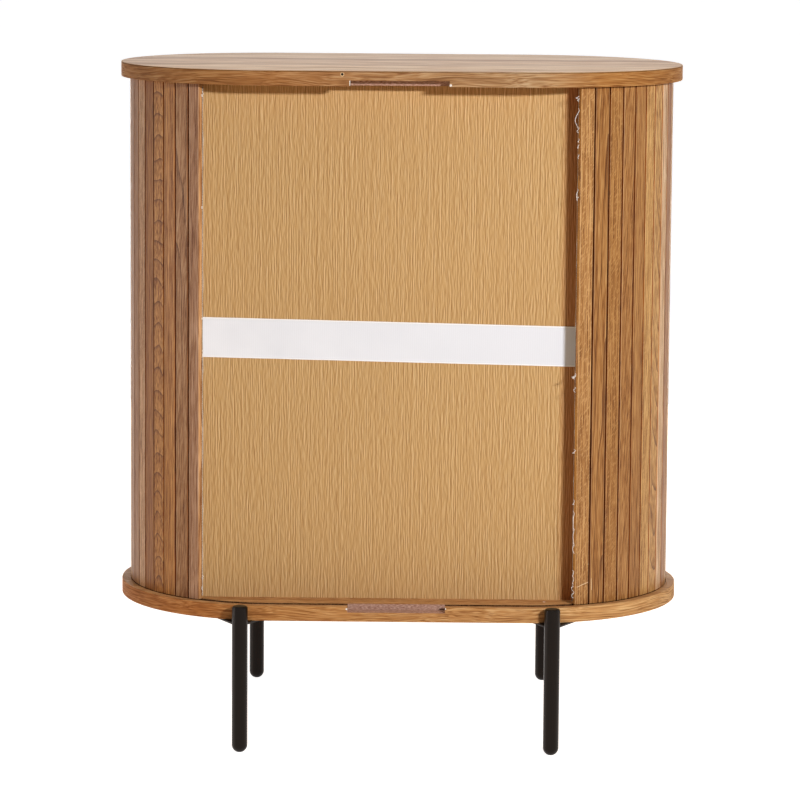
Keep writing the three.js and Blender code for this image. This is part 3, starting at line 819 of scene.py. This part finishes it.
# %% Slats and canvas
most_turn = 0.008
most_glue = 0.15 * MM
end_ease = 0.5 * MM
plank_length = 9


def carried_up(section, foot, out, profile):
    """A section set on its foot, facing out, and carried up by a profile: the grid, and the section's
    own points and outward directions."""
    points, outs = rounded(*section)
    axes = np.array([[out[1], -out[0]], out])
    return wrap(foot + points @ axes, outs @ axes, profile), points, outs


def slat_shell(foot, out, low, high, section, tint, cut, open_side=0):
    """One slat with eased ends. Painted shade darkens its sides, but for the one that stands open, which
    is painted lighter, and wear with a painted highlight pales the edges of its face."""
    turn = slat_random.uniform(-most_turn, most_turn)
    cos_turn, sin_turn = math.cos(turn), math.sin(turn)
    out = np.array([out[0] * cos_turn - out[1] * sin_turn, out[0] * sin_turn + out[1] * cos_turn])
    foot = foot + out * slat_random.uniform(0, most_glue)
    grid, points, outs = carried_up(section, foot, out, eased(low, high, end_ease, 2))
    columns = grid.shape[1]
    heart, lean, fleck = cuts[cut]
    heart = np.array(heart) * MM * slat_random.uniform(0.8, 1.2, 2) * [slat_random.choice([-1, 1]), 1]
    rise = grid[..., 2].reshape(-1, 1) - low
    local = np.repeat(points, columns, axis=0) + heart + rise * lean
    sideways = np.abs(outs[:, 0])
    standing_open = points[:, 0] * open_side > 0
    # Painted shade darkens the sides turned away, and the open side is painted lighter.
    turned_away = np.clip((sideways - 0.5) / 0.4, 0, 1)[:, None]
    shade = 1 - turned_away * (1 - np.where(standing_open[:, None], open_side_painted_light, painted_shade_share))
    colour = np.array(tints[tint]) * slat_random.uniform(0.96, 1.04) * np.repeat(shade, columns, axis=0)
    # Wear and a painted highlight pale the edges of the face.
    painted_light_places = (sideways > 0.01) & (sideways < 0.5) & (points[:, 1] > slat_thickness / 2)
    worn = painted_light_places * np.where(points[:, 0] > 0, *slat_random.uniform(0.1, 0.8, 2))
    return skin(grid, plank=np.hstack([local, rise + slat_random.uniform(0, plank_length)]),
                tint=np.hstack([colour, rise * 0 + fleck]), worn=np.repeat(worn, columns)[:, None])


def canvas_shell(foot, out, low, high, half):
    """The strip of canvas behind one slat."""
    section = oblong(-half, half, -canvas_thickness, 0), [0.05 * MM] * 4
    grid, _, outs = carried_up(section, foot, out, [[0, low], [0, high]])
    # The face that looks out into the gaps takes the painted shade.
    return skin(grid, np.where(outs[:, 1] > 0.5, 2, 1)[:, None], (1, 1))


strip = canvas_shell(np.zeros(2), np.array([0, 1]), case_floor, case_ceiling, slat_thickness)
print("a strip of canvas has", len(strip["points"]), "points")

# %% [markdown]
# ## The frayed edge
#
# The canvas ends at each door's trailing edge. It was cut by hand, so its edge wanders, and cotton
# threads curl out of it where it frays. Hair particles could grow such threads anywhere. Here each is
# a small tube, so that it hangs where the photograph shows one.
# %% Frayed edge
thread_radius = 0.33 * MM
thread_steps = 14
fray_hold = 2 * MM
fray_step = 4 * MM
fray_wander = 0.7 * MM
fray_random = np.random.default_rng(23)
# The threads of each door's edge: the share of the height where each starts, and its drop and bulge
# in millimetres.
right_threads = ((0.992, 5, 2), (0.985, 3, 1), (0.768, 3, 1.5), (0.55, 2, 1), (0.487, 8, 1.5),
                 (0.478, 4, 2), (0.04, 4, 2), (0.036, 2, 2), (0.018, 6, 2), (0.014, 2, 2))
left_threads = ((0.99, 2, 5), (0.986, 5, 2.5), (0.966, 27, 4.5), (0.93, 6, 2), (0.907, 3, 2),
                (0.896, 3, 2), (0.876, 4, 1.5), (0.81, 12, 3), (0.795, 5, 2), (0.45, 5, 4),
                (0.446, 3, 3), (0.422, 5, 2), (0.3, 4, 1.5), (0.2, 5, 2), (0.178, 26, 0.7),
                (0.145, 24, 0.5), (0.115, 14, 0.9), (0.06, 7, 1.5), (0.048, 10, 0.8), (0.03, 6, 1.7),
                (0.02, 9, 0.9))
# How far each door's canvas stands out, how far its threads come forward and off, and the threads.
frayed = {"right": (0.7 * MM, 3 * MM, 0, right_threads),
          "left": (0.1 * MM, 12.5 * MM, 5.3 * MM, left_threads)}


def thread_shell(root, across, out, forward, drop, bulge):
    """A loose thread: a tube round a path that drops along the edge while it bulges off it by half a
    sine, and curls as faster sines of its length. A root of that sine brings it forward, so that it
    hangs in front of the other door when the two meet at the back."""
    share = np.linspace(0, 1, thread_steps)[:, None]
    phase, turns = fray_random.uniform(0, 6.3, 3), fray_random.uniform(0.6, 1.6, 3)
    curl = np.sin(share * turns * 2 * math.pi + phase) - np.sin(phase)
    reach = across * (bulge * np.sin(share * 2.6) + 0.6 * MM * curl[:, :1])
    reach = reach + out * (forward * np.sin(share * 2.6) ** 0.35 + 0.5 * MM * curl[:, 1:2])
    path = root + np.hstack([reach, 0.8 * MM * curl[:, 2:] - drop * share])
    tangent = unit(np.gradient(path, axis=0))
    side = unit(np.cross(tangent, [0.3, 0.2, 0.93]))
    lift = np.cross(tangent, side)
    angle = np.arange(5)[:, None, None] / 5 * 2 * math.pi
    return skin(path + thread_radius * (np.cos(angle) * side + np.sin(angle) * lift), 3, (3, 3))


def fray(foot, out, low, high, half, side, reach, forward, off, threads):
    """A strip of bare canvas beyond the slat's edge, whose far side wanders up the door, and its
    threads, all of which bulge further off by the same distance, off."""
    across = side * np.array([out[1], -out[0]])
    near, far = np.sort([side * (half - fray_hold), side * (half + reach)])
    section = oblong(near, far, -canvas_thickness, 0), [0.1 * MM] * 4
    levels = np.arange(low, high, fray_step)
    grid, points, _ = carried_up(section, foot, out, joined(0, levels))
    wander = np.convolve(fray_random.uniform(-1, 1, len(levels) + 4), np.ones(5) / 3, "valid")
    grid[side * points[:, 0] > half - fray_hold / 2, :, :2] += fray_wander * wander[:, None] * across
    shells = [skin(grid, 1, (1, 1))]
    edge = foot + across * (half + 0.4 * MM) - out * canvas_thickness / 2
    for share, drop, bulge in threads:
        root = np.append(edge, low + share * (high - low))
        shells.append(thread_shell(root, across, out, forward, drop * MM, off + bulge * MM))
    return shells


print("loose threads", len(right_threads + left_threads))

# %% Doors
canvas_overlap = 0.35 * MM
canvas_short = 4 * MM
fray_short = 5 * MM
for node in door_nodes:
    low, high = (corner.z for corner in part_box(node))
    word = node.split("_")[0]
    trailing = node == last_slat(word)
    open_side = 0 if not trailing else -1 if word == "right" else 1
    shells = []
    for foot, out, half in slat_places(node):
        tint, cut = choose(node)
        section = slat_section(half - slat_random.uniform(0, 0.3) * MM)
        if node.endswith("pull_stile"):
            section = stile_section(half, 1 if word == "right" else -1)
        shells.append(slat_shell(foot, out, low, high, section, tint, cut, open_side))
        cloth_ends = low + canvas_short, high - canvas_short
        shells.append(canvas_shell(foot, out, *cloth_ends, half + canvas_overlap))
        if trailing:
            shells += fray(foot, out, low + fray_short, high - fray_short, half, open_side, *frayed[word])
    dress(node, shells, [slat_oak, canvas_cloth, painted_shade_canvas, frayed_cotton], "oak_slats", body=node)
print("doors dressed:", len(door_nodes), "pieces")

# %% [markdown]
# ## The inner box and the back panel
#
# These are veneered boards whose edges were eased with sandpaper. A cube with a Bevel modifier would
# look the same. A rounded rectangle in plan with an eased profile needs no new code, and its radius
# stays a size in millimetres.
# %% Panels
panels = {"left_side_panel": upright_veneer, "right_side_panel": upright_veneer,
          "centre_shelf": case_veneer, "back_panel_lower": panel_veneer, "back_panel_upper": panel_veneer}
for node, material in panels.items():
    low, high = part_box(node)
    slot, ease = ("oak_back_panel", 0.2 * MM) if material == panel_veneer else ("oak_boards", 0.6 * MM)
    points, outs = rounded(oblong(low.x, high.x, low.y, high.y), [ease] * 4)
    dress(node, [skin(wrap(points, outs, eased(low.z, high.z, ease, 3)))], [material], slot)
print("panels", len(panels))

# %% [markdown]
# ## The tape
#
# A tape lies over the joint of the two panels, a little out of level. Its section is a flat band
# with firm rounded edges, carried along the tape's length while its width wanders a little, as
# woven tape does. A plain box would show neither the edges nor the ribs.
# %% Tape
tape_thickness = tape_high.y - tape_low.y
tape_steps = 160
tape_wander = 0.3 * MM
tape_random = np.random.default_rng(5)
corners = oblong(-tape_width / 2, tape_width / 2, 0, tape_thickness)
section, _ = rounded(corners, [0.05 * MM, 0.05 * MM, 0.35 * MM, 0.35 * MM])
firm = np.linspace(1, -1, 15) * (tape_width / 2 - firm_edge)
inner = joined(firm, 0.75 * tape_thickness)
half = 3 * (corner_steps + 3)
section = np.concatenate([section[:half], inner, section[half:]])
along = np.linspace(-tape_length / 2, tape_length / 2, tape_steps)
# The wander is a random offset, smoothed over nine neighbours.
wander = tape_random.uniform(-tape_wander, tape_wander, tape_steps + 8)
wander = np.convolve(wander, np.ones(9) / 9, "valid")
edges = np.where(section[:, :1] > 0, 1, -1) * wander
up = section[:, :1] + edges * (np.abs(section[:, :1]) > tape_width / 2 - firm_edge)
up = np.clip(up, -tape_width / 2, tape_width / 2)
flat = joined(along, up, section[:, 1:])[::-1]
along, up, height = np.moveaxis(flat, 2, 0)
middle = (tape_low + tape_high) / 2
cos_tilt, sin_tilt = math.cos(tape_tilt), math.sin(tape_tilt)
stood = joined(middle.x + along * cos_tilt - up * sin_tilt, tape_low.y + height,
               middle.z + along * sin_tilt + up * cos_tilt)
tape_shell = skin(stood, plank=flat.reshape(-1, 3))
tape = dress("back_joint_tape", [tape_shell], [tape_finish], "white_tape")
print("tape tilt", round(math.degrees(tape_tilt), 2), "degrees, section of", len(section), "points")

# %% [markdown]
# ## Legs, plates and welds
#
# A leg is a rod turned round its own line, with a rounded foot and rim. Each stands in the hollow of
# a corner plate, and a bead of weld runs round the joint. All are coated together in black powder.
# A plate could be worked out like a board, but the drawing's own shape is exact already, so a copy of
# it is merged and its sharp edges are broken.
# %% Legs
foot_flat = 4 * MM
rim_radius = 3.4 * MM


def upright_box(node):
    """A round upright piece: the ends of its line, its middle in plan and its radius."""
    low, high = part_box(node)
    return low.z, high.z, np.array([(low.x + high.x) / 2, (low.y + high.y) / 2]), (high.x - low.x) / 2


def leg(node):
    """A rod: a quarter circle from the flat of the foot, straight up, and a small one at the rim."""
    _, top_end, middle, radius = upright_box(node)
    start = math.asin(foot_flat / radius)
    foot_turn = np.linspace(start, math.pi / 2, 13)
    rim_turn = np.linspace(0, math.pi / 2, 7)
    foot = joined(radius * np.sin(foot_turn), radius * (math.cos(start) - np.cos(foot_turn)))
    rim = [radius, top_end] - rim_radius * (1 - joined(np.cos(rim_turn), np.sin(rim_turn)))
    dress(node, [skin(turned(np.concatenate([foot, rim]), middle, 64))], [coated_rod], "black_steel")
    return middle, radius


leg_places = {name.removesuffix("_leg"): leg(name) for name in nodes_with("_leg")}
print("legs", sorted(leg_places))

# %% Plates and welds
broken_edge = 0.35 * MM
bead_radius = 1.3 * MM
bead_ripple = 2.2 * MM
bead_half_turn = 1.25
bead_taper = 0.12


def plate(corner):
    """The node's own shape with its loose triangles merged and its sharp edges broken."""
    node = f"{corner}_corner_plate"
    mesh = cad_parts[node].data.copy()
    mesh.name = f"{node}_dressed"
    edit = bmesh.new()
    edit.from_mesh(mesh)
    bmesh.ops.remove_doubles(edit, verts=edit.verts, dist=0.001 * MM)
    bmesh.ops.dissolve_limit(edit, angle_limit=math.radians(2), verts=edit.verts, edges=edit.edges)
    sharp = [edge for edge in edit.edges if edge.is_manifold and edge.calc_face_angle() > math.radians(40)]
    bmesh.ops.bevel(edit, geom=sharp, offset=broken_edge, segments=2, affect="EDGES", clamp_overlap=True)
    edit.to_mesh(mesh)
    edit.free()
    mesh.materials.clear()
    mesh.materials.append(powder_coat)
    mesh.polygons.foreach_set("use_smooth", [True] * len(mesh.polygons))
    place_piece(mesh, "cabinet_frame", node)


def weld(corner):
    """A bead in the corner under the plate: a tube round part of a circle, whose radius ripples and
    closes at both ends."""
    middle, radius = leg_places[corner]
    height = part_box(f"{corner}_corner_plate")[0].z
    inwards = -math.copysign(math.pi / 2, middle[1])
    turn = inwards + np.linspace(-bead_half_turn, bead_half_turn, 90)
    fullness = np.clip((bead_half_turn - np.abs(turn - inwards)) / bead_taper, 0.15, 1)
    bead = bead_radius * fullness * (1 + 0.1 * np.cos(turn * radius / bead_ripple * 2 * math.pi))
    ring = np.arange(10)[:, None] / 10 * 2 * math.pi
    away = radius + bead * np.cos(ring)
    grid = joined(middle[0] + away * np.cos(turn), middle[1] + away * np.sin(turn),
                  height + bead * np.sin(-ring))
    build(f"{corner}_weld_bead", [skin(grid)], [powder_coat], "black_steel")


for corner in leg_places:
    plate(corner)
    weld(corner)
print("plates and welds", 2 * len(leg_places))

# %% [markdown]
# ## Screws and pins
#
# Two pan-head screws with a cross recess hold each plate up against the board, and four short pins
# carry the shelf. Both are turned. A boolean could cut the recess, but on so small a head it is enough
# to press in the points that lie in a cross.
# %% Screws
recess_width = 0.9 * MM
recess_length = 2.6 * MM
recess_depth = 1.2 * MM
tip_radius = 0.1 * MM


def screw(node):
    """A head that faces down, and a shank with a point, turned. In the head, points within half a
    width of one of two crossed lines, and within half their length, are pressed in."""
    face_level, tip_level, middle, head = upright_box(node)
    shank = head / 2
    head_height = 0.6 * head
    face = np.linspace(0.05 * MM, 0.7 * head, 12)
    crown = joined(face, face_level)
    side = [[0.9 * head, face_level + 0.2 * head_height], [head, face_level + 0.5 * head_height],
            [head, face_level + head_height]]
    body = [[shank, face_level + head_height], [shank, tip_level - shank], [tip_radius, tip_level]]
    grid = turned(np.concatenate([crown, side, body]), middle)
    x, y = np.abs(grid[..., 0] - middle[0]), np.abs(grid[..., 1] - middle[1])
    cross = (np.minimum(x, y) < recess_width / 2) & (np.maximum(x, y) < recess_length / 2)
    grid[..., 2] += np.where(cross & (grid[..., 2] < face_level + 0.01 * MM), recess_depth, 0)
    dress(node, [skin(grid)], [zinc_plate], "zinc_steel", sharp=35)


for node in nodes_with("_screw_"):
    screw(node)
print("screws", len(nodes_with("_screw_")))


# %% Pins
def pin(node):
    """A rod with rounded ends: an eased profile turned upright and then laid along X."""
    low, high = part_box(node)
    radius = (high.z - low.z) / 2
    inset, height = eased(low.x, high.x, 0.25 * radius, 3).T
    across, out, along = np.moveaxis(turned(joined(radius - inset, height), (0, 0), 24), 2, 0)
    middle = (low + high) / 2
    grid = joined(along, middle.y + across, middle.z + out)
    dress(node, [skin(grid)], [zinc_plate], "zinc_steel")


for node in nodes_with("_pin_"):
    pin(node)
print("pins", len(nodes_with("_pin_")))
